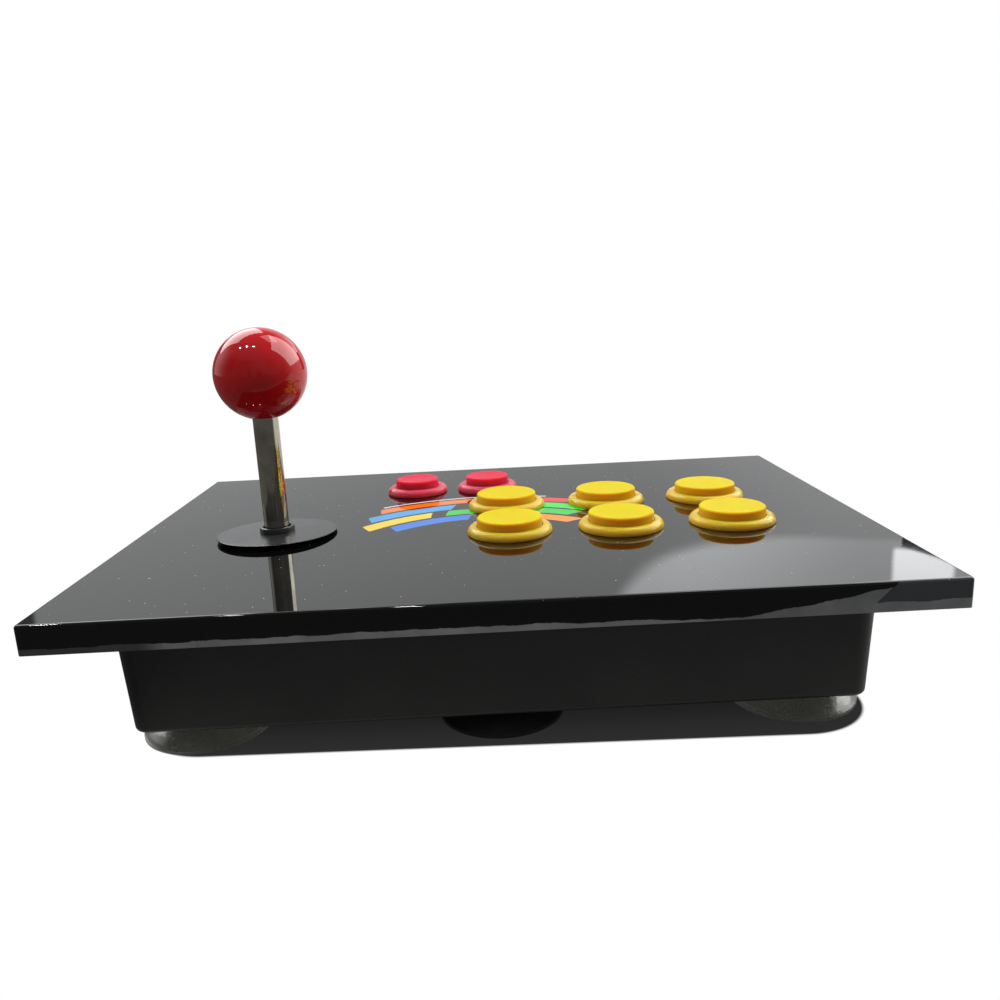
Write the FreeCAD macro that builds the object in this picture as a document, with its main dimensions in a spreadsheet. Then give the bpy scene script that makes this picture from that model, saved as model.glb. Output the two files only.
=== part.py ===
import FreeCAD, Part
import Sketcher
import math
import os
import re

# Arcade stick. Origin on the table under the middle of the panel, +X to the player's right,
# +Y away from the player, +Z up.

document = FreeCAD.newDocument("ArcadeStick")
sheet = document.addObject("Spreadsheet::Sheet", "Sizes")

# Driving dimensions, in millimetres and degrees
sizes = {
    # top panel, a folded steel pan
    "panel_length": 297,
    "panel_width": 210,
    "panel_skirt": 10,
    "panel_sheet": 1.5,
    "panel_bend": 1,
    "panel_corner": 1.2,
    "panel_inner_corner": 0.5,
    "panel_shaft_hole": 12,
    # base tub, measured at its underside
    "tub_length": 256,
    "tub_width": 166,
    "tub_height": 48.5,
    "tub_draft": 3,
    "tub_corner": 5.5,
    "tub_edge": 2,
    "tub_wall": 2.5,
    "flange_gap": 1.5,
    "flange_sheet": 2.5,
    # studs under the panel that hold the flange, and their nuts
    "stud_radius": 1.5,
    "stud_length": 6,
    "stud_gap": 0.3,
    "stud_offset": 4,
    "stud_side": 40,
    "stud_end": 110,
    "nut_corner": 3.15,
    "nut_height": 2.4,
    "thread_gap": 0.05,
    # suction cups with a mushroom head through the tub's floor
    "cup_radius": 23.5,
    "cup_height": 10,
    "cup_lip": 3,
    "cup_edge": 1.2,
    "cup_shoulder": 15.5,
    "cup_shoulder_rise": 5.5,
    "cup_seat": 9,
    "cup_hollow": 4.5,
    "cup_bow": 20,
    "cup_inner_bow": 30,
    "cup_neck": 4,
    "cup_head": 7,
    "cup_head_height": 4,
    "cup_head_round": 1.5,
    "cup_column": 109.5,
    "cup_row": 57,
    # places of the push buttons
    "play_column": 6.7,
    "play_column_pitch": 44.4,
    "play_row": -25.3,
    "play_row_pitch": 42.7,
    "start_column": -35.5,
    "start_column_pitch": 34,
    "start_row": 54.9,
    # large yellow buttons
    "play_rim_radius": 16.95,
    "play_rim_height": 3.1,
    "play_barrel_radius": 14.8,
    "play_cap_radius": 13,
    "play_cap_rise": 6.4,
    # small red buttons
    "start_rim_radius": 14.35,
    "start_rim_height": 3.3,
    "start_barrel_radius": 11.8,
    "start_cap_radius": 10.2,
    "start_cap_rise": 6.8,
    # what both kinds of button share
    "rim_round": 2.7,
    "rim_foot": 0.3,
    "rim_lip": 0.5,
    "barrel_depth": 24,
    "barrel_floor": 2,
    "barrel_wall": 1,
    "shoulder_depth": 3,
    "hole_gap": 0.2,
    "cap_gap": 0.15,
    "cap_round": 0.8,
    "cap_dish": 0.35,
    "cap_wall": 1.5,
    "cap_skin": 2,
    "cap_stop": 1.5,
    "stop_gap": 0.15,
    "stem_radius": 2.5,
    "stem_hole": 4.2,
    "button_travel": 2.5,
    "ring_nut_grip": 3.5,
    "ring_nut_height": 4.5,
    "clip_arm": 1.5,
    "clip_arm_length": 8,
    # microswitch
    "switch_length": 19.8,
    "switch_depth": 10.2,
    "switch_thick": 6.4,
    "switch_hole": 1.2,
    "switch_hole_span": 9.5,
    "switch_hole_rise": 2.7,
    "nub_length": 3,
    "nub_thick": 2,
    "nub_rise": 1.2,
    "blade_width": 3.2,
    "blade_thick": 0.6,
    "blade_length": 4,
    "blade_pitch": 7,
    # lever: place, ball, shaft and pivot
    "stick_column": -88.3,
    "stick_row": -13,
    "stick_tilt": 8,
    "pivot_depth": 15,
    "ball_radius": 18,
    "ball_rise": 65.7,
    "ball_flat": 6,
    "shaft_radius": 5,
    "shaft_thread": 3,
    "thread_length": 12,
    "pivot_radius": 8,
    "pivot_gap": 0.15,
    "bush_wall": 2,
    "bush_half": 5,
    "tail_radius": 4,
    "tail_depth": 29.5,
    # dust washers above and below the panel
    "washer_radius": 24.4,
    "washer_edge": 1.6,
    "washer_crown": 2.2,
    "washer_gap": 0.1,
    "washer_round": 0.5,
    "hub_radius": 7,
    "hub_rise": 4.1,
    "hub_bore": 5.75,
    "inner_washer_radius": 16.5,
    "inner_washer_bore": 7.5,
    "inner_washer_sheet": 1.2,
    # lever mounting plate with its nuts and screws
    "plate_width": 53,
    "plate_length": 95,
    "plate_sheet": 1.6,
    "plate_corner": 3,
    "plate_bore": 21,
    "plate_stud_column": 20,
    "plate_stud_row": 42,
    "plate_stud_radius": 2,
    "plate_stud_length": 6.5,
    "plate_nut_corner": 4.05,
    "plate_nut_height": 3.2,
    "screw_radius": 1.5,
    "screw_gap": 0.2,
    "screw_head": 2.8,
    "screw_head_height": 1.3,
    "screw_length": 6,
    # lever body
    "body_side": 50,
    "body_corner": 3,
    "body_flange": 6,
    "socket_wall": 4,
    "socket_depth": 7,
    "leg_side": 8,
    "leg_inset": 1,
    # centring spring, actuator and retaining clip
    "spring_radius": 9.3,
    "spring_wire": 0.55,
    "spring_turns": 3,
    "spring_seat_gap": 0.1,
    "actuator_radius": 7,
    "actuator_flange": 10.2,
    "actuator_flange_sheet": 1.5,
    "actuator_flange_depth": 12.2,
    "actuator_length": 14.6,
    "bore_gap": 0.1,
    "clip_radius": 6,
    "clip_sheet": 0.8,
    "clip_groove": 3,
    "clip_wrap": 300,
    # restrictor gate
    "gate_depth": 22.6,
    "gate_sheet": 2.4,
    "gate_gap": 0.3,
    "gate_pin_height": 5,
    # encoder board
    "board_length": 75,
    "board_width": 36,
    "board_sheet": 1.6,
    "board_column": 56,
    "board_row": 54,
    "board_hole_inset": 4,
    "boss_radius": 3.5,
    "boss_height": 6,
    "boss_pilot": 1.2,
    "boss_pilot_depth": 5,
    "board_screw_radius": 1.15,
    "header_length": 5.6,
    "header_width": 5,
    "header_height": 6,
    "header_pitch": 7,
    "header_inset": 1,
    "chip_side": 10,
    "chip_height": 1.8,
    # cable grommet in the back wall
    "cable_radius": 2.5,
    "grommet_neck": 4.5,
    "grommet_flange": 7,
    "grommet_flange_sheet": 1.8,
    "grommet_column": 56,
    "grommet_height": 36,
    "grommet_gap": 0.1,
}
for row, (name, value) in enumerate(sizes.items(), start=1):
    sheet.set(f"A{row}", name)
    sheet.set(f"B{row}", str(value))
    sheet.setAlias(f"B{row}", name)
document.recompute()
nut_sides = 6
ring_nut_sides = 8
headers_per_row = 7
same_place = 1e-4

# Heights that several pieces share, as formulas on the sheet
panel_under = "(cup_height + tub_height)"
panel_top = "(cup_height + tub_height + panel_sheet)"
tub_floor = "(cup_height + tub_wall)"
tub_flare = "(tub_height * tan(tub_draft))"
floor_flare = "(tub_wall * tan(tub_draft))"
pivot_height = f"({panel_top} - pivot_depth)"
# Heights in the lever's own frame, measured from its pivot
plate_under = "(pivot_depth - panel_sheet - plate_sheet)"
leg_top = f"({plate_under} - body_flange)"
gate_under = "(gate_depth + gate_sheet)"
flange_under = "(actuator_flange_depth + actuator_flange_sheet)"
actuator_end = f"({flange_under} + actuator_length - actuator_flange_sheet)"
socket_radius = "(pivot_radius + bush_wall + 2 * pivot_gap)"
socket_mouth = "(bush_half + pivot_gap)"
leg_centre = "((body_side - leg_side) / 2)"
# How far the actuator's side swings out at a depth under the pivot
switch_level = "(gate_depth - switch_thick / 2)"


def swing(depth):
    return f"(actuator_radius / cos(stick_tilt) + {depth} * tan(stick_tilt) / cos(stick_tilt))"


nub_reach = f"({swing(switch_level)} + gate_gap)"
gate_half = f"({swing(gate_under)} + gate_gap)"


def formula(text):
    return re.sub(r"[a-z]\w*", lambda word: f"Sizes.{word[0]}" if word[0] in sizes else word[0], text)


def number(text):
    return float(sheet.evalExpression(formula(text)))


def bind(thing, attribute, text):
    thing.setExpression(attribute, formula(text))


# Sketches: every corner and circle is placed from the sketch's origin by formulas

def new_sketch(body, name, plane="XY_Plane", offset="0"):
    sketch = body.newObject("Sketcher::SketchObject", name)
    support = [item for item in body.Origin.OriginFeatures if item.Role == plane][0]
    sketch.AttachmentSupport = (support, [""])
    sketch.MapMode = "FlatFace"
    bind(sketch, "AttachmentOffset.Base.z", offset)
    return sketch


def fix_point(sketch, edge, end, x, y):
    for kind, text in (("DistanceX", x), ("DistanceY", y)):
        index = sketch.addConstraint(Sketcher.Constraint(kind, -1, 1, edge, end, number(text)))
        bind(sketch, f"Constraints[{index}]", text)


def fix_radius(sketch, edge, text):
    index = sketch.addConstraint(Sketcher.Constraint("Radius", edge, number(text)))
    bind(sketch, f"Constraints[{index}]", text)


def arc_between(start, end, radius, turn):
    chord = end - start
    left = FreeCAD.Vector(-chord.y, chord.x, 0)
    left.normalize()
    reach = math.sqrt(max(radius ** 2 - (chord.Length / 2) ** 2, 0))
    centre = (start + end) / 2 + left * (turn * reach)
    first, last = (start, end) if turn > 0 else (end, start)
    angles = [math.atan2(point.y - centre.y, point.x - centre.x) for point in (first, last)]
    if angles[1] < angles[0]:
        angles[1] += 2 * math.pi
    return Part.ArcOfCircle(Part.Circle(centre, FreeCAD.Vector(0, 0, 1), radius), *angles)


# A corner is (x, y), or (x, y, radius, turn) where an arc leads on from it: turn +1 is to the left
def draw(sketch, corners):
    points = [FreeCAD.Vector(number(corner[0]), number(corner[1]), 0) for corner in corners]
    count = len(corners)
    first = sketch.GeometryCount
    ends = []
    for place, corner in enumerate(corners):
        start, end = points[place], points[(place + 1) % count]
        if len(corner) == 2:
            sketch.addGeometry(Part.LineSegment(start, end))
            ends.append((1, 2))
        else:
            sketch.addGeometry(arc_between(start, end, number(corner[2]), corner[3]))
            ends.append((1, 2) if corner[3] > 0 else (2, 1))
    for place, corner in enumerate(corners):
        following = (place + 1) % count
        sketch.addConstraint(Sketcher.Constraint(
            "Coincident", first + place, ends[place][1], first + following, ends[following][0]))
        fix_point(sketch, first + place, ends[place][0], corner[0], corner[1])
        if len(corner) == 4:
            fix_radius(sketch, first + place, corner[2])


def draw_rounded_rectangle(sketch, half_x, half_y, radius):
    inner_x, inner_y = f"({half_x} - {radius})", f"({half_y} - {radius})"
    draw(sketch, [
        (f"-{inner_x}", f"-{half_y}"), (inner_x, f"-{half_y}", radius, 1),
        (half_x, f"-{inner_y}"), (half_x, inner_y, radius, 1),
        (inner_x, half_y), (f"-{inner_x}", half_y, radius, 1),
        (f"-{half_x}", inner_y), (f"-{half_x}", f"-{inner_y}", radius, 1),
    ])


def draw_rectangle(sketch, left, low, right, high):
    draw(sketch, [(left, low), (right, low), (right, high), (left, high)])


def draw_circles(sketch, centres, radius):
    for x, y in centres:
        centre = FreeCAD.Vector(number(x), number(y), 0)
        edge = sketch.addGeometry(Part.Circle(centre, FreeCAD.Vector(0, 0, 1), number(radius)))
        fix_radius(sketch, edge, radius)
        fix_point(sketch, edge, 3, x, y)


# Bodies and their features

nodes = []


def new_body(label, x="0", y="0", z="0"):
    body = document.addObject("PartDesign::Body", label)
    body.Label = label
    for axis, text in zip("xyz", (x, y, z)):
        bind(body, f"Placement.Base.{axis}", text)
    nodes.append(body)
    return body


def extrude(body, kind, sketch, length, reverse=False):
    feature = body.newObject(f"PartDesign::{kind}", f"{sketch.Name}_{kind.lower()}")
    feature.Profile = sketch
    feature.Reversed = reverse
    bind(feature, "Length", length)
    return feature


def revolve(body, kind, sketch, angle="360"):
    feature = body.newObject(f"PartDesign::{kind}", f"{sketch.Name}_{kind.lower()}")
    feature.Profile = sketch
    feature.ReferenceAxis = (sketch, ["V_Axis"])
    bind(feature, "Angle", angle)
    return feature


def turned(label, corners, x="0", y="0", z="0", angle="360"):
    body = new_body(label, x, y, z)
    sketch = new_sketch(body, f"{label}_section", "XZ_Plane")
    draw(sketch, corners)
    revolve(body, "Revolution", sketch, angle)
    return body


def dress_edges(body, kind, name, attribute, size, wanted):
    document.recompute()
    base = body.Tip
    edges = [f"Edge{place}" for place, edge in enumerate(base.Shape.Edges, start=1) if wanted(edge)]
    feature = body.newObject(f"PartDesign::{kind}", name)
    feature.Base = (base, edges)
    bind(feature, attribute, size)
    return feature


def lies_at(height):
    level = number(height)
    return lambda edge: all(abs(vertex.Point.z - level) < same_place for vertex in edge.Vertexes)


def both_signs(x, y):
    return [(f"{sign_x}{x}", f"{sign_y}{y}") for sign_x in ("-", "") for sign_y in ("-", "")]


# Places that repeat

play_places = {
    f"{row_name}_{column_name}": (
        f"(play_column + {column} * play_column_pitch)", f"(play_row + {row} * play_row_pitch)")
    for row, row_name in enumerate(("front", "back"))
    for column, column_name in enumerate(("left", "middle", "right"))
}
start_places = {
    name: (f"(start_column + {column} * start_column_pitch)", "start_row")
    for column, name in enumerate(("left", "right"))
}
cup_places = {
    f"{row_name}_{column_name}": (f"({column} * cup_column)", f"({row} * cup_row)")
    for row, row_name in ((-1, "front"), (1, "back"))
    for column, column_name in ((-1, "left"), (0, "middle"), (1, "right"))
}
stick_place = ("stick_column", "stick_row")
stud_line = f"(tub_width / 2 + {tub_flare} + stud_offset)"
flange_studs = both_signs("stud_side", stud_line) + both_signs("stud_end", stud_line)
plate_studs = [
    (f"(stick_column + {x})", f"(stick_row + {y})")
    for x, y in both_signs("plate_stud_column", "plate_stud_row")
]
board_holes = [
    (f"(board_column + {x})", f"(board_row + {y})")
    for x, y in both_signs("(board_length / 2 - board_hole_inset)", "(board_width / 2 - board_hole_inset)")
]


# Top panel: a block with a bent edge, hollowed to its sheet, with the holes and studs

def make_top_panel():
    body = new_body("top_panel")
    outline = new_sketch(body, "panel_outline", offset=f"{panel_top} - panel_skirt")
    draw_rounded_rectangle(outline, "(panel_length / 2)", "(panel_width / 2)", "panel_corner")
    extrude(body, "Pad", outline, "panel_skirt")
    dress_edges(body, "Fillet", "panel_outer_bend", "Radius", "panel_bend", lies_at(panel_top))
    hollow = new_sketch(body, "panel_hollow", offset=f"{panel_top} - panel_skirt")
    draw_rounded_rectangle(
        hollow, "(panel_length / 2 - panel_sheet)", "(panel_width / 2 - panel_sheet)",
        "panel_inner_corner")
    extrude(body, "Pocket", hollow, "panel_skirt - panel_sheet", reverse=True)
    holes = new_sketch(body, "panel_holes", offset=panel_top)
    draw_circles(holes, play_places.values(), "(play_barrel_radius + hole_gap)")
    draw_circles(holes, start_places.values(), "(start_barrel_radius + hole_gap)")
    draw_circles(holes, [stick_place], "panel_shaft_hole")
    extrude(body, "Pocket", holes, "2 * panel_sheet")
    for name, places, radius, length in (
            ("flange_studs", flange_studs, "stud_radius", "stud_length"),
            ("plate_studs", plate_studs, "plate_stud_radius", "plate_stud_length")):
        studs = new_sketch(body, name, offset=panel_under)
        draw_circles(studs, places, radius)
        extrude(body, "Pad", studs, length, reverse=True)


# Base tub: drafted walls, a flange under the panel's overhang, bosses for the board

def make_base_tub():
    body = new_body("base_tub")
    low = new_sketch(body, "tub_low", offset="cup_height")
    draw_rounded_rectangle(low, "(tub_length / 2)", "(tub_width / 2)", "tub_corner")
    block = extrude(body, "Pad", low, "tub_height")
    bind(block, "TaperAngle", "tub_draft")
    dress_edges(body, "Fillet", "tub_lower_edge", "Radius", "tub_edge", lies_at("cup_height"))
    floor = new_sketch(body, "tub_floor", offset=tub_floor)
    floor_half = [f"({side} / 2 + {floor_flare} - tub_wall)" for side in ("tub_length", "tub_width")]
    draw_rounded_rectangle(floor, *floor_half, f"(tub_corner + {floor_flare} - tub_wall)")
    inside = extrude(body, "Pocket", floor, "tub_height - tub_wall", reverse=True)
    bind(inside, "TaperAngle", "tub_draft")
    mouth_half = [f"({side} / 2 + {tub_flare} - tub_wall)" for side in ("tub_length", "tub_width")]
    mouth_corner = f"(tub_corner + {tub_flare} - tub_wall)"
    flange = new_sketch(body, "tub_flange", offset=panel_under)
    flange_half = [f"({side} / 2 - panel_sheet - flange_gap)" for side in ("panel_length", "panel_width")]
    draw_rounded_rectangle(flange, *flange_half, "tub_corner")
    draw_rounded_rectangle(flange, *mouth_half, mouth_corner)
    extrude(body, "Pad", flange, "flange_sheet", reverse=True)
    stud_holes = new_sketch(body, "flange_holes", offset=panel_under)
    draw_circles(stud_holes, flange_studs, "(stud_radius + stud_gap)")
    extrude(body, "Pocket", stud_holes, "flange_sheet")
    cup_holes = new_sketch(body, "cup_holes", offset="cup_height")
    draw_circles(cup_holes, cup_places.values(), "(cup_neck + bore_gap)")
    extrude(body, "Pocket", cup_holes, "tub_wall", reverse=True)
    back_wall = f"(tub_width / 2 + {tub_flare})"
    cable_hole = new_sketch(body, "cable_hole", "XZ_Plane", f"-({back_wall} + tub_wall)")
    draw_circles(cable_hole, [("grommet_column", "grommet_height")], "(grommet_neck + grommet_gap)")
    extrude(body, "Pocket", cable_hole, f"3 * tub_wall + {tub_flare}", reverse=True)
    bosses = new_sketch(body, "board_bosses", offset=tub_floor)
    draw_circles(bosses, board_holes, "boss_radius")
    extrude(body, "Pad", bosses, "boss_height")
    pilots = new_sketch(body, "board_pilots", offset=f"{tub_floor} + boss_height")
    draw_circles(pilots, board_holes, "boss_pilot")
    extrude(body, "Pocket", pilots, "boss_pilot_depth")


# Suction cups: one moulding each, from the lip on the table to the head inside the tub

def make_cup(name, place):
    head_low = "(cup_height + tub_wall + bore_gap)"
    head_high = f"({head_low} + cup_head_height)"
    turned(f"suction_cup_{name}", [
        ("0", "cup_hollow"), ("cup_seat", "cup_hollow", "cup_inner_bow", -1), ("(cup_radius - cup_lip)", "0"),
        ("cup_radius", "0"), ("cup_radius", "cup_edge", "cup_bow", 1), ("cup_shoulder", "cup_shoulder_rise"),
        ("cup_seat", "(cup_height - cup_edge)"), ("cup_seat", "cup_height"), ("cup_neck", "cup_height"),
        ("cup_neck", head_low), ("cup_head", head_low),
        ("cup_head", f"({head_high} - cup_head_round)", "cup_head_round", 1),
        ("(cup_head - cup_head_round)", head_high), ("0", head_high),
    ], *place)


# Push buttons: housing, plunger, microswitch and ring nut

def make_housing(kind, name, place):
    bore = f"({kind}_cap_radius + cap_gap)"
    rim, height, barrel = f"{kind}_rim_radius", f"{kind}_rim_height", f"{kind}_barrel_radius"
    well = f"({barrel} - barrel_wall)"
    body = turned(f"{kind}_housing_{name}", [
        (bore, "-shoulder_depth"), (bore, f"({height} - rim_lip)", "rim_lip", -1),
        (f"({bore} + rim_lip)", height), (f"({rim} - rim_round)", height, "rim_round", -1),
        (rim, f"({height} - rim_round)"), (rim, "rim_foot", "rim_foot", -1),
        (f"({rim} - rim_foot)", "0"), (barrel, "0"), (barrel, "-barrel_depth"),
        ("stem_hole", "-barrel_depth"), ("stem_hole", "(barrel_floor - barrel_depth)"),
        (well, "(barrel_floor - barrel_depth)"), (well, "-shoulder_depth"),
    ], *place, panel_top)
    arms = new_sketch(body, f"{kind}_{name}_arms", offset="-barrel_depth")
    inner = "(switch_length / 2 + bore_gap)"
    outer = f"({inner} + clip_arm)"
    draw_rectangle(arms, f"-{outer}", "(-switch_thick / 2)", f"-{inner}", "(switch_thick / 2)")
    draw_rectangle(arms, inner, "(-switch_thick / 2)", outer, "(switch_thick / 2)")
    extrude(body, "Pad", arms, "clip_arm_length", reverse=True)


def make_plunger(kind, name, place):
    cap, rise = f"{kind}_cap_radius", f"{kind}_cap_rise"
    face = f"({cap} - cap_round)"
    dish_radius = f"(({face} ^ 2 + cap_dish ^ 2) / (2 * cap_dish))"
    stop_high = "(-shoulder_depth - stop_gap)"
    stop_low = f"({stop_high} - cap_stop)"
    stop = f"({kind}_barrel_radius - barrel_wall - cap_gap)"
    stem_end = "(nub_rise + button_travel + stop_gap - barrel_depth)"
    turned(f"{kind}_plunger_{name}", [
        ("0", f"({rise} - cap_dish)", dish_radius, 1), (face, rise, "cap_round", -1),
        (cap, f"({rise} - cap_round)"), (cap, stop_high), (stop, stop_high), (stop, stop_low),
        (f"({cap} - cap_wall)", stop_low), (f"({cap} - cap_wall)", f"({rise} - cap_skin)"),
        ("stem_radius", f"({rise} - cap_skin)"), ("stem_radius", stem_end), ("0", stem_end),
    ], *place, panel_top)


# A microswitch in its own frame: the nub points along +Z from the case's face at zero
def make_switch(label, x, y, z):
    body = new_body(label, x, y, z)
    case = new_sketch(body, f"{label}_case", "XZ_Plane", "-switch_thick / 2")
    draw_rectangle(case, "(-switch_length / 2)", "-switch_depth", "(switch_length / 2)", "0")
    hole_level = "(switch_hole_rise - switch_depth)"
    hole_side = "(switch_hole_span / 2)"
    draw_circles(case, [(f"-{hole_side}", hole_level), (hole_side, hole_level)], "switch_hole")
    extrude(body, "Pad", case, "switch_thick")
    nub = new_sketch(body, f"{label}_nub")
    draw_rectangle(nub, "(-nub_length / 2)", "(-nub_thick / 2)", "(nub_length / 2)", "(nub_thick / 2)")
    extrude(body, "Pad", nub, "nub_rise")
    blades = new_sketch(body, f"{label}_blades", offset="-switch_depth")
    for step in ("-1", "0", "1"):
        middle = f"({step} * blade_pitch)"
        draw_rectangle(
            blades, f"({middle} - blade_width / 2)", "(-blade_thick / 2)",
            f"({middle} + blade_width / 2)", "(blade_thick / 2)")
    extrude(body, "Pad", blades, "blade_length", reverse=True)
    return body


def primitive(kind, name, x, y, z, **attributes):
    thing = document.addObject(f"Part::{kind}", name)
    for axis, text in zip("xyz", (x, y, z)):
        bind(thing, f"Placement.Base.{axis}", text)
    for attribute, text in attributes.items():
        bind(thing, attribute, text)
    return thing


def group(label, members):
    compound = document.addObject("Part::Compound", label)
    compound.Label = label
    compound.Links = members
    nodes.append(compound)


def nut(name, x, y, low, sides, corner, bore, height):
    blank = primitive("Prism", f"{name}_blank", x, y, low, Circumradius=corner, Height=height)
    blank.Polygon = sides
    hole = primitive("Cylinder", f"{name}_bore", x, y, low, Radius=bore, Height=height)
    piece = document.addObject("Part::Cut", name)
    piece.Base, piece.Tool = blank, hole
    return piece


def make_ring_nuts(kind, places):
    barrel = f"{kind}_barrel_radius"
    group(f"{kind}_ring_nuts", [
        nut(f"{kind}_ring_nut_{name}", x, y, f"{panel_under} - ring_nut_height", ring_nut_sides,
            f"{barrel} + ring_nut_grip", f"{barrel} + thread_gap", "ring_nut_height")
        for name, (x, y) in places.items()
    ])


def make_buttons(kind, places):
    for name, place in places.items():
        make_housing(kind, name, place)
        make_plunger(kind, name, place)
        make_switch(f"{kind}_switch_{name}", *place, f"{panel_top} - barrel_depth")
    make_ring_nuts(kind, places)


# Lever: everything is drawn from the pivot's centre

def make_ball_and_shaft():
    ball_centre = "(ball_rise + pivot_depth)"
    ball_low = f"({ball_centre} - sqrt(ball_radius ^ 2 - ball_flat ^ 2))"
    thread_high = f"({ball_low} + thread_length)"
    turned("ball_top", [
        ("0", f"({ball_centre} + ball_radius)", "ball_radius", -1), ("ball_flat", ball_low),
        ("(shaft_thread + thread_gap)", ball_low), ("(shaft_thread + thread_gap)", thread_high),
        ("0", thread_high),
    ], *stick_place, pivot_height)
    clip_high = f"(-({actuator_end}))"
    clip_low = f"({clip_high} - clip_sheet)"
    turned("stick_shaft", [
        ("0", thread_high), ("shaft_thread", thread_high),
        ("shaft_thread", ball_low), ("shaft_radius", ball_low),
        ("shaft_radius", "sqrt(pivot_radius ^ 2 - shaft_radius ^ 2)", "pivot_radius", -1),
        ("tail_radius", "(-sqrt(pivot_radius ^ 2 - tail_radius ^ 2))"), ("tail_radius", clip_high),
        ("clip_groove", clip_high), ("clip_groove", clip_low), ("tail_radius", clip_low),
        ("tail_radius", "-tail_depth"), ("0", "-tail_depth"),
    ], *stick_place, pivot_height)
    turned("retaining_clip", [
        ("clip_groove", clip_low), ("clip_radius", clip_low),
        ("clip_radius", clip_high), ("clip_groove", clip_high),
    ], *stick_place, pivot_height, angle="clip_wrap")


def make_pivot_bushing():
    inner, outer = "(pivot_radius + pivot_gap)", "(pivot_radius + pivot_gap + bush_wall)"
    inner_mouth = f"sqrt({inner} ^ 2 - bush_half ^ 2)"
    outer_mouth = f"sqrt({outer} ^ 2 - bush_half ^ 2)"
    turned("pivot_bushing", [
        (inner_mouth, "-bush_half"), (outer_mouth, "-bush_half", outer, 1),
        (outer_mouth, "bush_half"), (inner_mouth, "bush_half", inner, -1),
    ], *stick_place, pivot_height)


def make_dust_washers():
    turned("dust_washer", [
        ("hub_bore", "washer_gap"), ("washer_radius", "washer_gap"),
        ("washer_radius", "(washer_edge - washer_round)", "washer_round", 1),
        ("(washer_radius - washer_round)", "washer_edge"),
        ("hub_radius", "washer_crown"), ("hub_radius", "(hub_rise - washer_round)", "washer_round", 1),
        ("(hub_radius - washer_round)", "hub_rise"), ("hub_bore", "hub_rise"),
    ], *stick_place, panel_top)
    seat = f"({panel_under} - plate_sheet + washer_gap)"
    turned("inner_dust_washer", [
        ("inner_washer_bore", "0"), ("inner_washer_radius", "0"),
        ("inner_washer_radius", "inner_washer_sheet"), ("inner_washer_bore", "inner_washer_sheet"),
    ], *stick_place, seat)


def make_stick_plate():
    body = new_body("stick_plate", *stick_place, f"{panel_under} - plate_sheet")
    outline = new_sketch(body, "plate_outline")
    draw_rounded_rectangle(outline, "(plate_width / 2)", "(plate_length / 2)", "plate_corner")
    draw_circles(outline, [("0", "0")], "plate_bore")
    draw_circles(
        outline, both_signs("plate_stud_column", "plate_stud_row"), "(plate_stud_radius + stud_gap)")
    draw_circles(outline, both_signs(leg_centre, leg_centre), "(screw_radius + screw_gap)")
    extrude(body, "Pad", outline, "plate_sheet")
    hole_radius = number("screw_radius + screw_gap")
    at_top = lies_at("plate_sheet")

    def is_screw_hole(edge):
        is_circle = len(edge.Vertexes) == 1 and hasattr(edge.Curve, "Radius")
        return at_top(edge) and is_circle and abs(edge.Curve.Radius - hole_radius) < same_place

    dress_edges(body, "Chamfer", "plate_countersinks", "Size", "screw_head_height", is_screw_hole)


def make_stick_body():
    body = new_body("stick_body", *stick_place, pivot_height)
    flange = new_sketch(body, "body_flange", offset=leg_top)
    draw_rounded_rectangle(flange, "(body_side / 2)", "(body_side / 2)", "body_corner")
    extrude(body, "Pad", flange, "body_flange")
    socket = new_sketch(body, "body_socket", offset=leg_top)
    draw_circles(socket, [("0", "0")], f"({socket_radius} + socket_wall)")
    extrude(body, "Pad", socket, f"{leg_top} + socket_depth", reverse=True)
    legs = new_sketch(body, "body_legs", offset=leg_top)
    inner, outer = "(body_side / 2 - leg_side)", "(body_side / 2 - leg_inset)"
    for left, right in ((f"-{outer}", f"-{inner}"), (inner, outer)):
        for low, high in ((f"-{outer}", f"-{inner}"), (inner, outer)):
            draw_rectangle(legs, left, low, right, high)
    extrude(body, "Pad", legs, f"{leg_top} + gate_depth", reverse=True)
    mouth = f"sqrt({socket_radius} ^ 2 - {socket_mouth} ^ 2)"
    cup = new_sketch(body, "body_cup", "XZ_Plane")
    draw(cup, [
        ("0", plate_under), (socket_radius, plate_under), (socket_radius, "0", socket_radius, -1),
        (mouth, f"-{socket_mouth}"), (mouth, "-socket_depth"), ("0", "-socket_depth"),
    ])
    revolve(body, "Groove", cup)
    for name, level, reverse in (
            ("body_top_pilots", plate_under, False), ("body_leg_pilots", "-gate_depth", True)):
        pilots = new_sketch(body, name, offset=level)
        draw_circles(pilots, both_signs(leg_centre, leg_centre), "(screw_radius + thread_gap)")
        extrude(body, "Pocket", pilots, "screw_length", reverse=reverse)


def make_spring_and_actuator():
    spring = new_body("centring_spring", *stick_place, pivot_height)
    wire = new_sketch(spring, "spring_wire", "XZ_Plane")
    seat = "(actuator_flange_depth - spring_seat_gap)"
    draw_circles(wire, [("spring_radius", f"(spring_wire - {seat})")], "spring_wire")
    coil = spring.newObject("PartDesign::AdditiveHelix", "spring_coil")
    coil.Profile = wire
    coil.ReferenceAxis = (wire, ["V_Axis"])
    coil.Mode = "height-turns-angle"
    bind(coil, "Height", f"{seat} - socket_depth - spring_seat_gap - 2 * spring_wire")
    bind(coil, "Turns", "spring_turns")
    turned("actuator", [
        ("(tail_radius + bore_gap)", f"-({actuator_end})"), ("actuator_radius", f"-({actuator_end})"),
        ("actuator_radius", f"-{flange_under}"), ("actuator_flange", f"-{flange_under}"),
        ("actuator_flange", "-actuator_flange_depth"), ("(tail_radius + bore_gap)", "-actuator_flange_depth"),
    ], *stick_place, pivot_height)


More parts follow.
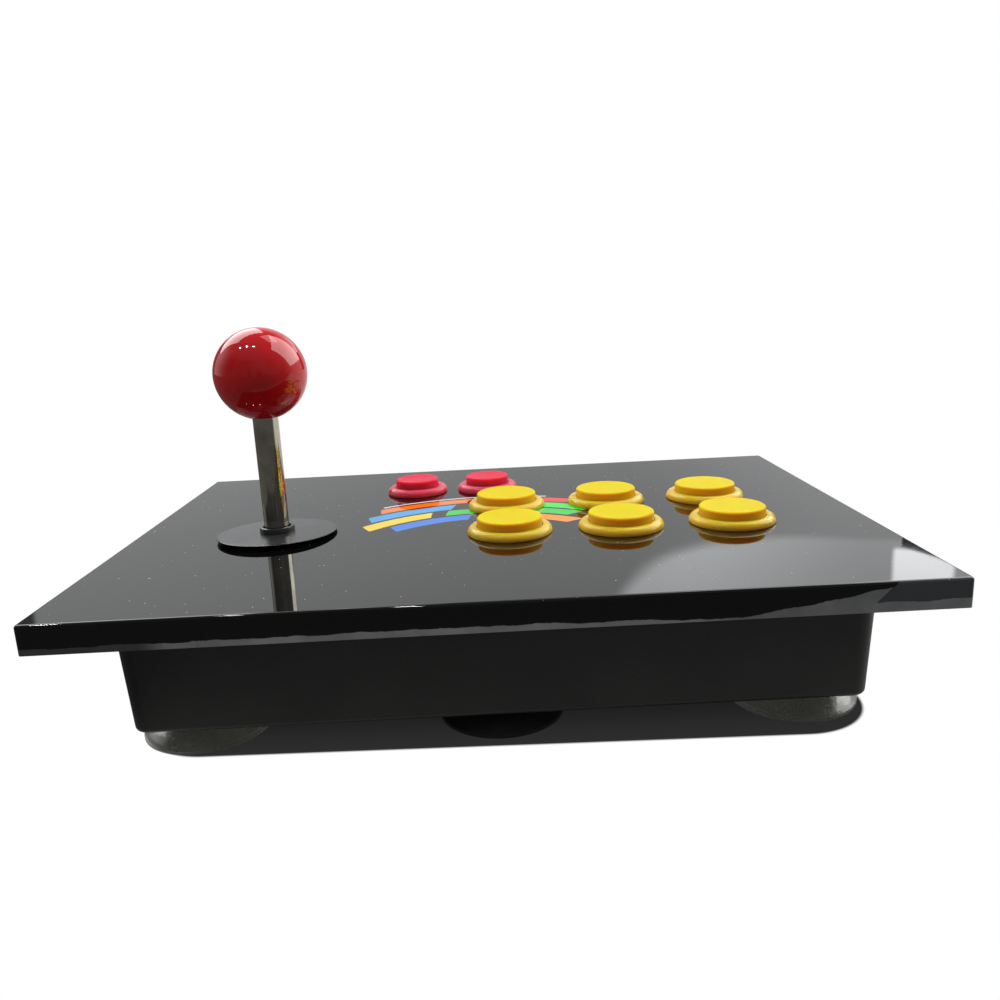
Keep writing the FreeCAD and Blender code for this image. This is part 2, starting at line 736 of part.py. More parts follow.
switch_sides = ("right", "back", "left", "front")
switch_face = f"({nub_reach} + nub_rise)"


def make_gate_and_switches():
    body = new_body("restrictor_gate", *stick_place, f"{pivot_height} - {gate_under}")
    outline = new_sketch(body, "gate_outline")
    draw_rounded_rectangle(outline, "(body_side / 2)", "(body_side / 2)", "body_corner")
    draw_rectangle(outline, f"-{gate_half}", f"-{gate_half}", gate_half, gate_half)
    draw_circles(outline, both_signs(leg_centre, leg_centre), "(screw_radius + screw_gap)")
    extrude(body, "Pad", outline, "gate_sheet")
    pins = new_sketch(body, "gate_pins", offset="gate_sheet")
    pin_reach = f"({switch_face} + switch_depth - switch_hole_rise)"
    pin_side = "(switch_hole_span / 2)"
    pin_places = both_signs(pin_reach, pin_side) + both_signs(pin_side, pin_reach)
    draw_circles(pins, pin_places, "(switch_hole - bore_gap)")
    extrude(body, "Pad", pins, "gate_pin_height")
    for quarter, name in enumerate(switch_sides):
        angle = 90 * quarter
        x = f"(stick_column + {round(math.cos(math.radians(angle)))} * {switch_face})"
        y = f"(stick_row + {round(math.sin(math.radians(angle)))} * {switch_face})"
        switch = make_switch(f"stick_switch_{name}", x, y, f"{pivot_height} - {switch_level}")
        outward = FreeCAD.Rotation(FreeCAD.Vector(0, 0, 1), angle)
        switch.Placement.Rotation = outward * FreeCAD.Rotation(
            FreeCAD.Vector(0, 1, 0), FreeCAD.Vector(0, 0, -1), FreeCAD.Vector(-1, 0, 0), "XYZ")


def screw(name, x, y, top, head, head_height, shank, length, head_is_cone):
    if head_is_cone:
        cap = primitive("Cone", f"{name}_head", x, y, f"{top} - {head_height}",
                        Radius1=shank, Radius2=head, Height=head_height)
    else:
        cap = primitive("Cylinder", f"{name}_head", x, y, f"{top} - {head_height}",
                        Radius=head, Height=head_height)
    stem = primitive("Cylinder", f"{name}_shank", x, y, f"{top} - {length}", Radius=shank, Height=length)
    piece = document.addObject("Part::Fuse", name)
    piece.Base, piece.Tool = cap, stem
    return piece


def make_fasteners():
    group("tub_nuts", [
        nut(f"tub_nut_{place}", x, y, f"{panel_under} - flange_sheet - nut_height", nut_sides,
            "nut_corner", "stud_radius + thread_gap", "nut_height")
        for place, (x, y) in enumerate(flange_studs)
    ])
    group("plate_nuts", [
        nut(f"plate_nut_{place}", x, y, f"{panel_under} - plate_sheet - plate_nut_height", nut_sides,
            "plate_nut_corner", "plate_stud_radius + thread_gap", "plate_nut_height")
        for place, (x, y) in enumerate(plate_studs)
    ])
    corners = [
        (f"stick_column + {x}", f"stick_row + {y}") for x, y in both_signs(leg_centre, leg_centre)
    ]
    group("stick_body_screws", [
        screw(f"stick_body_screw_{place}", x, y, panel_under, "screw_head", "screw_head_height",
              "screw_radius", "screw_length", True)
        for place, (x, y) in enumerate(corners)
    ])
    gate_screws = []
    for place, (x, y) in enumerate(corners):
        low = f"{pivot_height} - {gate_under} - screw_head_height"
        head = primitive("Cylinder", f"gate_screw_{place}_head", x, y, low,
                         Radius="screw_head", Height="screw_head_height")
        shank = primitive("Cylinder", f"gate_screw_{place}_shank", x, y, low,
                          Radius="screw_radius", Height="screw_length + screw_head_height")
        piece = document.addObject("Part::Fuse", f"gate_screw_{place}")
        piece.Base, piece.Tool = head, shank
        gate_screws.append(piece)
    group("gate_screws", gate_screws)
    board_top = f"({tub_floor} + boss_height + board_sheet)"
    group("board_screws", [
        screw(f"board_screw_{place}", x, y, f"({board_top} + screw_head_height)", "screw_head",
              "screw_head_height", "board_screw_radius",
              "(screw_head_height + board_sheet + boss_pilot_depth - bore_gap)", False)
        for place, (x, y) in enumerate(board_holes)
    ])


# Encoder board on its bosses, with a row of plug headers along each long edge

def make_encoder_board():
    board_low = f"({tub_floor} + boss_height)"
    body = new_body("encoder_board", "board_column", "board_row", board_low)
    outline = new_sketch(body, "board_outline")
    draw_rectangle(
        outline, "(-board_length / 2)", "(-board_width / 2)", "(board_length / 2)", "(board_width / 2)")
    draw_circles(
        outline,
        both_signs("(board_length / 2 - board_hole_inset)", "(board_width / 2 - board_hole_inset)"),
        "(screw_radius + screw_gap)")
    extrude(body, "Pad", outline, "board_sheet")
    board_top = f"({board_low} + board_sheet)"
    members = []
    for edge_name, edge in (("front", -1), ("back", 1)):
        for step in range(headers_per_row):
            along = f"({step} - {headers_per_row - 1} / 2) * header_pitch"
            x = f"(board_column + {along} - header_length / 2)"
            across = f"{edge} * (board_width / 2 - header_inset - header_width / 2)"
            y = f"(board_row + {across} - header_width / 2)"
            members.append(primitive(
                "Box", f"header_{edge_name}_{step + 1}", x, y, board_top,
                Length="header_length", Width="header_width", Height="header_height"))
    members.append(primitive(
        "Box", "encoder_chip", "(board_column - chip_side / 2)", "(board_row - chip_side / 2)", board_top,
        Length="chip_side", Width="chip_side", Height="chip_height"))
    group("board_components", members)


def make_cable_grommet():
    slope = "(grommet_flange * tan(tub_draft))"
    half_groove = f"(tub_wall / cos(tub_draft) / 2 + {slope} + grommet_gap)"
    end = f"({half_groove} + grommet_flange_sheet)"
    wall_middle = (f"(tub_width / 2 + (grommet_height - cup_height) * tan(tub_draft)"
                   f" - tub_wall / cos(tub_draft) / 2)")
    body = turned("cable_grommet", [
        ("cable_radius", f"-{end}"), ("grommet_flange", f"-{end}"), ("grommet_flange", f"-{half_groove}"),
        ("grommet_neck", f"-{half_groove}"), ("grommet_neck", half_groove), ("grommet_flange", half_groove),
        ("grommet_flange", end), ("cable_radius", end),
    ], "grommet_column", wall_middle, "grommet_height")
    body.Placement.Rotation = FreeCAD.Rotation(FreeCAD.Vector(1, 0, 0), -90)


make_top_panel()
make_base_tub()
for cup_name, cup_place in cup_places.items():
    make_cup(cup_name, cup_place)
make_buttons("play", play_places)
make_buttons("start", start_places)
make_ball_and_shaft()
make_pivot_bushing()
make_dust_washers()
make_stick_plate()
make_stick_body()
make_spring_and_actuator()
make_gate_and_switches()
make_fasteners()
make_encoder_board()
make_cable_grommet()
document.recompute()

# Every object has to be sound, and every cut has to take something away
for thing in document.Objects:
    if "Invalid" in thing.State or "Error" in thing.State:
        raise RuntimeError(f"{thing.Name} failed: {thing.State}")
    if thing.TypeId in ("PartDesign::Pocket", "PartDesign::Groove"):
        if thing.Shape.Volume >= thing.BaseFeature.Shape.Volume:
            raise RuntimeError(f"{thing.Name} cuts nothing")
os.makedirs("parts", exist_ok=True)
for node in nodes:
    if node.Shape.isNull() or not node.Shape.isValid():
        raise RuntimeError(f"{node.Label} has no sound shape")
    node.Shape.exportStep(f"parts/{node.Label}.step")
print(f"{len(nodes)} nodes written")
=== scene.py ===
import math
import bpy
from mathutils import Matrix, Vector


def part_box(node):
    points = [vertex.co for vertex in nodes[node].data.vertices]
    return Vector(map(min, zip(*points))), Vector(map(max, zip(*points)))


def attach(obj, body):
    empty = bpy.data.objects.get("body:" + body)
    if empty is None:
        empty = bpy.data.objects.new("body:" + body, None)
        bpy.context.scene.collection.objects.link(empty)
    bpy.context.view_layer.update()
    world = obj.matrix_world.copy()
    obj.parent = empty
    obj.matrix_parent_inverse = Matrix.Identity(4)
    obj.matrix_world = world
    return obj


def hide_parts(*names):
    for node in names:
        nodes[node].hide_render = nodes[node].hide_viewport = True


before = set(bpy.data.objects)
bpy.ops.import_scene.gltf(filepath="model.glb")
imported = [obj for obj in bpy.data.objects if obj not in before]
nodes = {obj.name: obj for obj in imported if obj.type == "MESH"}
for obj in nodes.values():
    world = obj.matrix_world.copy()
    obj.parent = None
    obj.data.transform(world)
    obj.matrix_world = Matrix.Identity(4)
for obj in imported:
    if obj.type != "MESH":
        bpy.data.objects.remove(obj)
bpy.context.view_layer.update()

print("frame loaded:", len(nodes), "nodes")


def shown(red, green, blue):        # a colour as seen on screen, 0 to 255, made linear
    parts = [value / 255 for value in (red, green, blue)]
    return tuple(v / 12.92 if v <= 0.04045 else ((v + 0.055) / 1.055) ** 2.4 for v in parts) + (1.0,)


# node trees: a socket takes a wire or a plain value

def feed(tree, socket, value):
    if isinstance(value, bpy.types.NodeSocket):
        tree.links.new(value, socket)
    else:
        socket.default_value = value


def addNode(tree, kind, sockets=None):
    node = tree.nodes.new(kind)
    for name, value in (sockets or {}).items():
        feed(tree, node.inputs[name], value)
    return node


def calc(tree, operation, *values, clamp=False):
    node = tree.nodes.new("ShaderNodeMath")
    node.operation = operation
    node.use_clamp = clamp
    for number, value in enumerate(values):
        feed(tree, node.inputs[number], value)
    return node.outputs[0]


def times(tree, first, *others):
    for other in others:
        first = calc(tree, "MULTIPLY", first, other)
    return first


def plus(tree, first, *others):
    for other in others:
        first = calc(tree, "ADD", first, other)
    return first


def minus(tree, first, second):
    return calc(tree, "SUBTRACT", first, second)


def opposite(tree, mask):        # one where the mask is nought
    return minus(tree, 1.0, mask)


def ramp(tree, value, low, high, outLow=0.0, outHigh=1.0):        # eased step from low to high
    node = tree.nodes.new("ShaderNodeMapRange")
    node.interpolation_type = "SMOOTHSTEP"
    for name, amount in (("Value", value), ("From Min", low), ("From Max", high),
                         ("To Min", outLow), ("To Max", outHigh)):
        feed(tree, node.inputs[name], amount)
    return node.outputs["Result"]


def between(tree, value, low, high, soft):        # one from low to high, with soft ends
    return times(tree, ramp(tree, value, low - soft, low + soft), ramp(tree, value, high + soft, high - soft))


def mix(tree, factor, first, second, kind="FLOAT"):
    node = tree.nodes.new("ShaderNodeMix")
    node.data_type = kind
    for name, value in (("Factor", factor), ("A", first), ("B", second)):
        feed(tree, node.inputs[name], value)
    return node.outputs["Result"]


def mixColour(tree, factor, first, second):
    return mix(tree, factor, first, second, "RGBA")


def mixShader(tree, factor, first, second):
    node = addNode(tree, "ShaderNodeMixShader", {"Fac": factor})
    tree.links.new(first, node.inputs[1])
    tree.links.new(second, node.inputs[2])
    return node.outputs["Shader"]


def splitVector(tree, vector):
    return addNode(tree, "ShaderNodeSeparateXYZ", {"Vector": vector}).outputs


def newGroup(name, inputs, outputs):
    group = bpy.data.node_groups.new(name, "ShaderNodeTree")
    for label, kind, value in inputs:
        socket = group.interface.new_socket(label, in_out="INPUT", socket_type=kind)
        if value is not None:
            socket.default_value = value
    for label, kind in outputs:
        group.interface.new_socket(label, in_out="OUTPUT", socket_type=kind)
    return group, group.nodes.new("NodeGroupInput").outputs, group.nodes.new("NodeGroupOutput").inputs


def place(tree, group, **values):        # one use of a shared effect, with its own values
    node = tree.nodes.new("ShaderNodeGroup")
    node.node_tree = group
    for name, value in values.items():
        feed(tree, node.inputs[name], value)
    return node.outputs


# shared effects

vectorSocket, floatSocket = "NodeSocketVector", "NodeSocketFloat"

effectLook = {
    "speckLeast": 0.35,        # share of the size that every speck has
    "dustHolds": (0.3, 0.9),        # how far a face has to look up to hold dust
    "mottleDetail": 4.0,
    "mottleRough": 0.6,
    "mottleSpan": (0.3, 0.7),        # the part of the noise that is spread from low to high
    "grainDetail": 2.0,
    "inkSoft": 0.00012,        # softness of a printed edge, in metres
    "inkSoftTurn": 0.002,        # and of a printed end, in radians
}


def makeDustGroup():        # loose specks that lie on faces that look up
    group, given, out = newGroup(
        "dustSpecks",
        [("Vector", vectorSocket, None), ("Scale", floatSocket, 500.0), ("Share", floatSocket, 0.1),
         ("Size", floatSocket, 0.12)],
        [("Mask", floatSocket)])
    cells = addNode(group, "ShaderNodeTexVoronoi", {"Vector": given["Vector"], "Scale": given["Scale"]})
    chance = addNode(group, "ShaderNodeSeparateColor", {"Color": cells.outputs["Color"]}).outputs
    holdsSpeck = calc(group, "LESS_THAN", chance[0], given["Share"])
    reach = times(group, given["Size"], plus(group, chance[1], effectLook["speckLeast"]))
    isNear = calc(group, "LESS_THAN", cells.outputs["Distance"], reach)
    facing = splitVector(group, addNode(group, "ShaderNodeNewGeometry").outputs["Normal"])[2]
    looksUp = ramp(group, facing, *effectLook["dustHolds"])
    feed(group, out["Mask"], times(group, holdsSpeck, isNear, chance[2], looksUp))
    return group


def makeMottleGroup():        # slow uneven shade, from low to high
    group, given, out = newGroup(
        "softMottle",
        [("Vector", vectorSocket, None), ("Scale", floatSocket, 20.0), ("Low", floatSocket, 0.0),
         ("High", floatSocket, 1.0)],
        [("Value", floatSocket)])
    noise = addNode(group, "ShaderNodeTexNoise",
                    {"Vector": given["Vector"], "Scale": given["Scale"],
                     "Detail": effectLook["mottleDetail"], "Roughness": effectLook["mottleRough"]})
    spread = ramp(group, noise.outputs["Fac"], *effectLook["mottleSpan"], given["Low"], given["High"])
    feed(group, out["Value"], spread)
    return group


def makeGrainGroup():        # the fine spark-eroded grain of a mould
    group, given, out = newGroup(
        "mouldGrain",
        [("Vector", vectorSocket, None), ("Scale", floatSocket, 1400.0)],
        [("Height", floatSocket)])
    pits = addNode(group, "ShaderNodeTexVoronoi", {"Vector": given["Vector"], "Scale": given["Scale"]})
    noise = addNode(group, "ShaderNodeTexNoise",
                    {"Vector": given["Vector"], "Scale": given["Scale"], "Detail": effectLook["grainDetail"]})
    feed(group, out["Height"], plus(group, pits.outputs["Distance"], noise.outputs["Fac"]))
    return group


def makeArcGroup():        # a printed arc: between two radii and two angles about a centre
    group, given, out = newGroup(
        "printedArc",
        [("Vector", vectorSocket, None), ("Inner", floatSocket, 0.05), ("Outer", floatSocket, 0.06),
         ("From", floatSocket, 0.0), ("To", floatSocket, 1.0), ("Slant", floatSocket, 0.0)],
        [("Mask", floatSocket)])
    x, y = splitVector(group, given["Vector"])[:2]
    radius = calc(group, "SQRT", plus(group, times(group, x, x), times(group, y, y)))
    turn = calc(group, "ARCTAN2", x, y)
    lean = times(group, minus(group, radius, given["Inner"]), given["Slant"])
    along = minus(group, turn, lean)
    soft, softTurn = effectLook["inkSoft"], effectLook["inkSoftTurn"]
    steps = []
    for value, limit, sign, edge in ((radius, given["Inner"], 1.0, soft),
                                     (radius, given["Outer"], -1.0, soft),
                                     (along, given["From"], 1.0, softTurn),
                                     (along, given["To"], -1.0, softTurn)):
        depth = times(group, minus(group, value, limit), sign)
        steps.append(ramp(group, depth, -edge, edge))
    feed(group, out["Mask"], times(group, *steps))
    return group


dustSpecks = makeDustGroup()
softMottle = makeMottleGroup()
mouldGrain = makeGrainGroup()
printedArc = makeArcGroup()


def startMaterial(name):
    material = bpy.data.materials.new(name)
    material.use_nodes = True
    tree = material.node_tree
    shader = tree.nodes["Principled BSDF"]
    coords = addNode(tree, "ShaderNodeTexCoord").outputs["Object"]
    return material, tree, shader, coords


def mottled(tree, coords, scale, low=0.0, high=1.0):
    return place(tree, softMottle, Vector=coords, Scale=scale, Low=low, High=high)["Value"]


def bumpInto(tree, shader, height, strength, distance):
    bump = addNode(tree, "ShaderNodeBump", {"Height": height, "Strength": strength, "Distance": distance})
    feed(tree, shader.inputs["Normal"], bump.outputs["Normal"])


# panel: black gloss film with a printed design, dust, slow waves and a pale folded edge, partly painted
# reflection, with a painted reflection wedge and paler skirt near the front's right end

panelLook = {
    "black": shown(9, 10, 11),
    "ior": 1.5,
    "gloss": 0.012,
    "smear": (30.0, 0.03),        # scale of the smears, and how much duller they are
    "wave": {"scale": 11.0, "detail": 1.0, "strength": 0.18, "height": 0.002},
    "dust": shown(190, 188, 180),
    "dustFields": [(650.0, 0.16, 0.12), (180.0, 0.05, 0.07)],        # scale, share of the cells, size
    "wornRough": 0.35,        # dust and the fold are duller by this
    "topDepth": (0.0004, 0.0001),        # the print comes in between these depths under the top
    "frontDepth": (0.004, 0.002),        # and the front skirt between these behind the front edge
    # pale fold: the film's folded edge, partly painted reflection
    "foldGrey": shown(158, 160, 160),
    "skirtGrey": shown(72, 74, 77),        # the skirt past the wedge is paler: painted reflection
    "foldStart": (-0.112, -0.100, 0.2),        # from and to along the front, and the share of it before that
    "foldRise": 0.0023,        # how far the fold climbs the skirt
    "foldTaper": (0.0, 0.075, 0.4),        # from and to along the front, and what is left of the rise
    "foldWaver": (70.0, 0.0004),        # scale and height of its uneven edge
    "foldSoft": 0.0003,
    "foldBreaks": (60.0, 0.7),        # scale of the breaks in its pale strip, and how much is left in them
    "foldWedge": (0.078, 0.1245, 0.0075),        # from and to along the front, and the climb at its tip; the wedge is a painted reflection
    "wedgeFade": (0.03, 0.72),        # the fold fades over this length before the wedge, to this share
    "wedgeLean": 1.1,        # the wedge's tip leans to the right
    "wedgeSoft": 0.0006,
    "foldEnd": 0.0023,        # the fold's climb beyond the wedge
    "printCentre": (-0.003, -0.055),
    "printArcs": [        # inner and outer radius, from and to angle in degrees, slant, colour
        (0.052, 0.060, -44, -8, 6, shown(30, 125, 230)),
        (0.062, 0.070, -50, -22, 6, shown(255, 220, 20)),
        (0.072, 0.080, -42, -12, 6, shown(60, 170, 240)),
        (0.082, 0.089, -34, -6, 6, shown(250, 130, 20)),
        (0.052, 0.060, -4, 40, 6, shown(250, 150, 20)),
        (0.062, 0.070, -16, 34, 6, shown(25, 215, 60)),
        (0.072, 0.080, -6, 36, 6, shown(45, 240, 75)),
        (0.082, 0.089, 0, 26, 6, shown(240, 40, 40)),
        (0.091, 0.0925, -30, 18, 0, shown(235, 235, 235)),
    ],
}


def printInk(tree, coords, colour, onTop):        # the arcs, laid over the film one by one
    centreX, centreY = panelLook["printCentre"]
    centred = addNode(tree, "ShaderNodeMapping", {"Vector": coords, "Location": (-centreX, -centreY, 0)})
    for inner, outer, start, end, slant, ink in panelLook["printArcs"]:
        mask = place(tree, printedArc, Vector=centred.outputs["Vector"], Inner=inner, Outer=outer,
                     From=math.radians(start), To=math.radians(end), Slant=float(slant))["Mask"]
        colour = mixColour(tree, times(tree, mask, onTop), colour, ink)
    return colour


def foldMasks(tree, coords, low):        # the pale fold along the skirt (the film's folded edge, pale partly in its own colour and partly by painted reflection) with its painted reflection wedge, and the skirt past the wedge, paler by painted reflection
    look = panelLook
    x, y, z = splitVector(tree, coords)
    frontFrom, frontFull = look["frontDepth"]
    onFront = ramp(tree, y, low.y + frontFrom, low.y + frontFull)
    wedgeFrom, wedgeTo, wedgeTip = look["foldWedge"]
    climb = calc(tree, "DIVIDE", minus(tree, x, wedgeFrom), wedgeTo - wedgeFrom, clamp=True)
    lean = times(tree, minus(tree, low.z + look["foldRise"] + wedgeTip, z), look["wedgeLean"])
    pastTip = ramp(tree, plus(tree, x, lean), wedgeTo, wedgeTo + look["wedgeSoft"])
    wedge = plus(tree, times(tree, climb, wedgeTip, opposite(tree, pastTip)),
                 times(tree, pastTip, look["foldEnd"]))
    taperFrom, taperTo, taperLeft = look["foldTaper"]
    strip = times(tree, ramp(tree, x, taperFrom, taperTo, 1.0, taperLeft), look["foldRise"])
    onEdge = mix(tree, onFront, look["foldRise"] * taperLeft, plus(tree, strip, wedge))
    waverScale, waverHeight = look["foldWaver"]
    waver = mottled(tree, coords, waverScale, -waverHeight, waverHeight)
    rise = plus(tree, waver, low.z, onEdge)
    startFrom, startFull, startFaint = look["foldStart"]
    fadeLength, fadeLeft = look["wedgeFade"]
    faint = times(tree, ramp(tree, x, startFrom, startFull, startFaint, 1.0),
                  ramp(tree, x, wedgeFrom - fadeLength, wedgeFrom, 1.0, fadeLeft))
    patchy = mottled(tree, coords, *look["foldBreaks"])
    isBelow = ramp(tree, minus(tree, rise, z), 0.0, look["foldSoft"])
    return times(tree, isBelow, times(tree, faint, patchy)), times(tree, pastTip, onFront)


def makePanelFilm():
    look = panelLook
    low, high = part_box("top_panel")
    material, tree, shader, coords = startMaterial("panelFilm")
    inkFrom, inkFull = look["topDepth"]
    onTop = ramp(tree, splitVector(tree, coords)[2], high.z - inkFrom, high.z - inkFull)
    fold, pastWedge = foldMasks(tree, coords, low)
    colour = printInk(tree, coords, look["black"], onTop)
    # painted reflection: the paler skirt past the wedge, then the pale fold and its wedge
    colour = mixColour(tree, times(tree, pastWedge, opposite(tree, onTop)), colour, look["skirtGrey"])
    colour = mixColour(tree, fold, colour, look["foldGrey"])
    specks = [place(tree, dustSpecks, Vector=coords, Scale=scale, Share=share, Size=size)["Mask"]
              for scale, share, size in look["dustFields"]]
    dust = calc(tree, "MAXIMUM", *specks)
    feed(tree, shader.inputs["Base Color"], mixColour(tree, dust, colour, look["dust"]))
    smearScale, smearDull = look["smear"]
    smear = mottled(tree, coords, smearScale, look["gloss"], look["gloss"] + smearDull)
    patchy = times(tree, calc(tree, "MAXIMUM", dust, fold), look["wornRough"])
    feed(tree, shader.inputs["Roughness"], plus(tree, smear, patchy))
    wave = look["wave"]
    swell = addNode(tree, "ShaderNodeTexNoise",
                    {"Vector": coords, "Scale": wave["scale"], "Detail": wave["detail"]})
    bumpInto(tree, shader, swell.outputs["Fac"], wave["strength"], wave["height"])
    shader.inputs["IOR"].default_value = look["ior"]
    return material


# moulded plastics and rubbers share one recipe: mottled colour, grain in the bump, uneven gloss, and for some
# a painted shade colour on faces that look sideways

mouldLook = {
    "sideFacing": (0.15, 0.85),        # painted shade: a face that looks up less than this takes the side colour
    "speckColour": shown(200, 198, 190),
    "speckScale": 700.0,
    "speckSize": 0.14,
    "glossScale": 2.5,        # the gloss is mottled finer than the colour
    "grainDepth": 0.0001,
    "clearIor": 1.46,
}

# a look's side colour is painted shade, for faces that look sideways
mouldedLooks = {
    "tub_black": {"dark": shown(27, 30, 30), "light": shown(35, 38, 38), "mottleScale": 14.0,
                  "smooth": 0.36, "rough": 0.5, "grainScale": 1500.0, "grain": 0.35, "specular": 0.32},
    "cup_clear": {"dark": shown(196, 198, 188), "light": shown(226, 227, 220), "mottleScale": 60.0,
                  "smooth": 0.12, "rough": 0.3, "grainScale": 600.0, "grain": 0.15, "clear": 0.82},
    "cup_black": {"dark": shown(66, 67, 65), "light": shown(78, 78, 76), "mottleScale": 60.0,
                  "smooth": 0.4, "rough": 0.55, "grainScale": 800.0, "grain": 0.2},
    "button_yellow": {"dark": shown(249, 198, 40), "light": shown(251, 204, 48), "mottleScale": 25.0,
                      "side": shown(252, 192, 60), "smooth": 0.1, "rough": 0.16,
                      "grainScale": 1600.0, "grain": 0.02,
                      "glow": 1.0, "glowRadius": (0.005, 0.0022, 0.0003), "specular": 0.24},
    "cap_yellow": {"dark": shown(223, 194, 24), "light": shown(227, 198, 30), "mottleScale": 25.0,
                   "side": shown(254, 190, 60), "smooth": 0.2, "rough": 0.26,
                   "grainScale": 1600.0, "grain": 0.03,
                   "glow": 1.0, "glowRadius": (0.005, 0.0018, 0.0003), "specular": 0.01},
    "button_red": {"dark": shown(238, 78, 104), "light": shown(242, 84, 110), "mottleScale": 25.0,
                   "side": shown(236, 80, 100), "smooth": 0.1, "rough": 0.16,
                   "grainScale": 1600.0, "grain": 0.02,
                   "glow": 1.0, "glowRadius": (0.006, 0.0008, 0.0012), "specular": 0.18},
    "cap_red": {"dark": shown(240, 54, 76), "light": shown(242, 60, 82), "mottleScale": 25.0,
                "side": shown(238, 66, 88), "smooth": 0.2, "rough": 0.26,
                "grainScale": 1600.0, "grain": 0.03,
                "glow": 1.0, "glowRadius": (0.008, 0.001, 0.0016), "specular": 0.01},
    "ball_red": {"dark": shown(212, 22, 28), "light": shown(218, 26, 32), "mottleScale": 30.0,
                 "smooth": 0.015, "rough": 0.03, "grainScale": 300.0, "grain": 0.005, "specular": 0.6},
    "washer_black": {"dark": shown(38, 40, 41), "light": shown(46, 48, 49), "mottleScale": 50.0,
                     "smooth": 0.19, "rough": 0.27, "grainScale": 900.0, "grain": 0.06, "dust": 0.12},
    "nylon_white": {"dark": shown(205, 203, 192), "light": shown(222, 220, 210), "mottleScale": 60.0,
                    "smooth": 0.35, "rough": 0.5, "grainScale": 1200.0, "grain": 0.15,
                    "glow": 0.3, "glowRadius": (0.002, 0.0018, 0.0015)},
    "mechanism_black": {"dark": shown(22, 22, 23), "light": shown(32, 32, 33), "mottleScale": 40.0,
                        "smooth": 0.35, "rough": 0.5, "grainScale": 1500.0, "grain": 0.3},
    "switch_black": {"dark": shown(18, 18, 20), "light": shown(28, 28, 30), "mottleScale": 80.0,
                     "smooth": 0.25, "rough": 0.4, "grainScale": 1800.0, "grain": 0.2},
    "nut_black": {"dark": shown(20, 20, 21), "light": shown(30, 30, 31), "mottleScale": 60.0,
                  "smooth": 0.3, "rough": 0.45, "grainScale": 1400.0, "grain": 0.25},
    "board_green": {"dark": shown(22, 84, 50), "light": shown(30, 100, 60), "mottleScale": 120.0,
                    "smooth": 0.2, "rough": 0.35, "grainScale": 700.0, "grain": 0.1},
    "header_white": {"dark": shown(212, 208, 196), "light": shown(226, 223, 212), "mottleScale": 90.0,
                     "smooth": 0.35, "rough": 0.5, "grainScale": 1500.0, "grain": 0.15},
    "grommet_rubber": {"dark": shown(17, 17, 17), "light": shown(27, 27, 27), "mottleScale": 90.0,
                       "smooth": 0.5, "rough": 0.65, "grainScale": 1000.0, "grain": 0.3},
}


def makeMoulded(name, look):
    material, tree, shader, coords = startMaterial(name)
    colour = mixColour(tree, mottled(tree, coords, look["mottleScale"]), look["dark"], look["light"])
    if "side" in look:        # painted shade: faces that look sideways take the side colour, the deeper tint of the plastic in shade
        facing = splitVector(tree, addNode(tree, "ShaderNodeNewGeometry").outputs["Normal"])[2]
        colour = mixColour(tree, ramp(tree, facing, *mouldLook["sideFacing"]), look["side"], colour)
    if "specular" in look:
        shader.inputs["Specular IOR Level"].default_value = look["specular"]
    if "dust" in look:
        specks = place(tree, dustSpecks, Vector=coords, Scale=mouldLook["speckScale"], Share=look["dust"],
                       Size=mouldLook["speckSize"])["Mask"]
        colour = mixColour(tree, specks, colour, mouldLook["speckColour"])
    feed(tree, shader.inputs["Base Color"], colour)
    glossScale = look["mottleScale"] * mouldLook["glossScale"]
    feed(tree, shader.inputs["Roughness"], mottled(tree, coords, glossScale, look["smooth"], look["rough"]))
    grain = place(tree, mouldGrain, Vector=coords, Scale=look["grainScale"])["Height"]
    bumpInto(tree, shader, grain, look["grain"], mouldLook["grainDepth"])
    if "glow" in look:        # light that soaks into the plastic
        shader.inputs["Subsurface Weight"].default_value = look["glow"]
        shader.inputs["Subsurface Radius"].default_value = look["glowRadius"]
        shader.inputs["Subsurface Scale"].default_value = 1.0
    if "clear" in look:
        shader.inputs["Transmission Weight"].default_value = look["clear"]
        shader.inputs["IOR"].default_value = mouldLook["clearIor"]
    return material


# bright metals: turned rings on the shaft, dull patches on plated steel

ringLook = {
    "stretch": (0.03, 0.03, 1.0),        # drawn out level, so that the noise makes rings
    "strength": 0.05,
    "depth": 0.00005,
    "patchScale": 90.0,
}

metalLooks = {
    "shaft_chrome": {"dark": shown(172, 167, 152), "light": shown(206, 202, 190), "ringScale": 900.0,
                     "smooth": 0.05, "rough": 0.12},
    "steel_zinc": {"dark": shown(150, 152, 150), "light": shown(192, 192, 186), "ringScale": 300.0,
                   "smooth": 0.25, "rough": 0.45},
}


def makeMetal(name, look):
    material, tree, shader, coords = startMaterial(name)
    drawn = addNode(tree, "ShaderNodeMapping", {"Vector": coords, "Scale": ringLook["stretch"]})
    rings = mottled(tree, drawn.outputs["Vector"], look["ringScale"])
    patches = mottled(tree, coords, ringLook["patchScale"])
    feed(tree, shader.inputs["Base Color"], mixColour(tree, patches, look["dark"], look["light"]))
    halfEach = times(tree, plus(tree, rings, patches), 0.5)
    feed(tree, shader.inputs["Roughness"], ramp(tree, halfEach, 0.0, 1.0, look["smooth"], look["rough"]))
    bumpInto(tree, shader, rings, ringLook["strength"], ringLook["depth"])
    shader.inputs["Metallic"].default_value = 1.0
    return material


